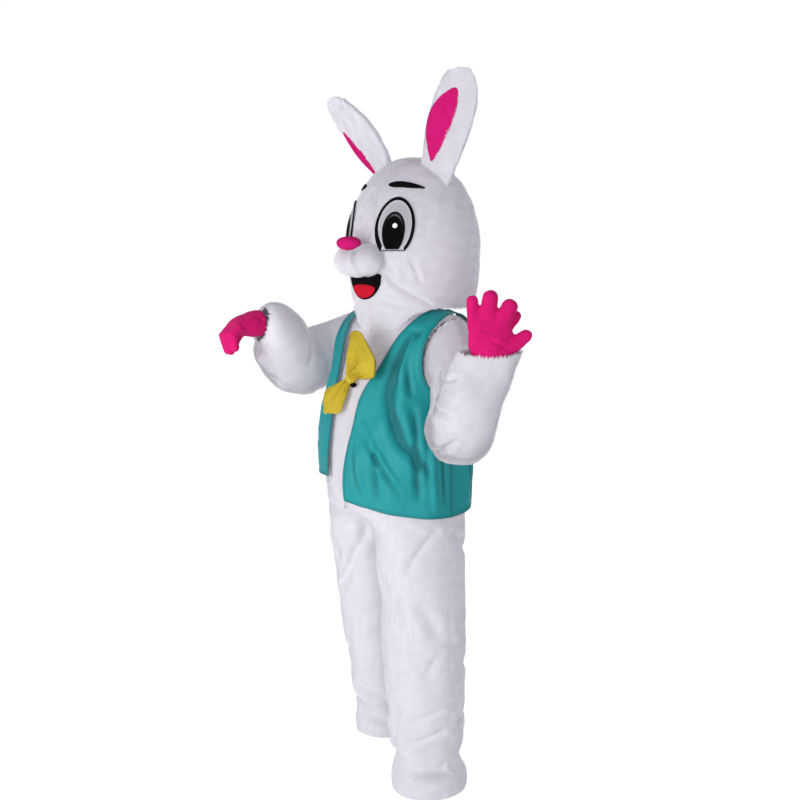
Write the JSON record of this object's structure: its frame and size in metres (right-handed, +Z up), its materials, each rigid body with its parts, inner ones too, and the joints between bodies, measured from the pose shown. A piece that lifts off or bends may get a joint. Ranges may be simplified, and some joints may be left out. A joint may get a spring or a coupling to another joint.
{
  "type": "rabbit costume",
  "caption": "Adult rabbit costume as worn: white plush suit, large hollow head with upright ears, open satin vest, plush bow tie and mitt gloves.",
  "frame": {"origin": "middle of the wearer's shoulders, at the height of the suit's shoulder seams", "axes": "+Z up towards the ears, -Y out of the chest and face, +X towards the wearer's left arm"},
  "size_m": [0.8713, 0.6444, 1.9457],
  "materials": {
    "white_plush": "short white fur",
    "teal_satin": "satin sheen",
    "yellow_plush": "soft short pile",
    "pink_fleece": "soft fleece",
    "pink_felt": "smooth felt",
    "red_felt": "smooth felt",
    "black_felt": "smooth felt",
    "eye_cloth": "fine white cloth",
    "pupil_mesh": "glossy black mesh"
  },
  "bodies": {
    "root": {"suit_front_left": "white_plush", "suit_front_right": "white_plush", "suit_back_left": "white_plush", "suit_back_right": "white_plush", "sleeve_left": "white_plush", "sleeve_right": "white_plush", "head_left": "white_plush", "head_right": "white_plush", "muzzle": "white_plush", "ear_left": "white_plush", "ear_right": "white_plush", "vest_front_left": "teal_satin", "vest_front_right": "teal_satin", "vest_back": "teal_satin", "bow_upper": "yellow_plush", "bow_lower": "yellow_plush", "bow_knot": "yellow_plush", "glove_left": "pink_fleece", "glove_right": "pink_fleece", "nose": "pink_felt", "inner_ear_left": "pink_felt", "inner_ear_right": "pink_felt", "tongue": "red_felt", "mouth": "black_felt", "brow_left": "black_felt", "brow_right": "black_felt", "eye_left": "eye_cloth", "eye_right": "eye_cloth", "pupil_left": "pupil_mesh", "pupil_right": "pupil_mesh"}
  },
  "joints": []
}
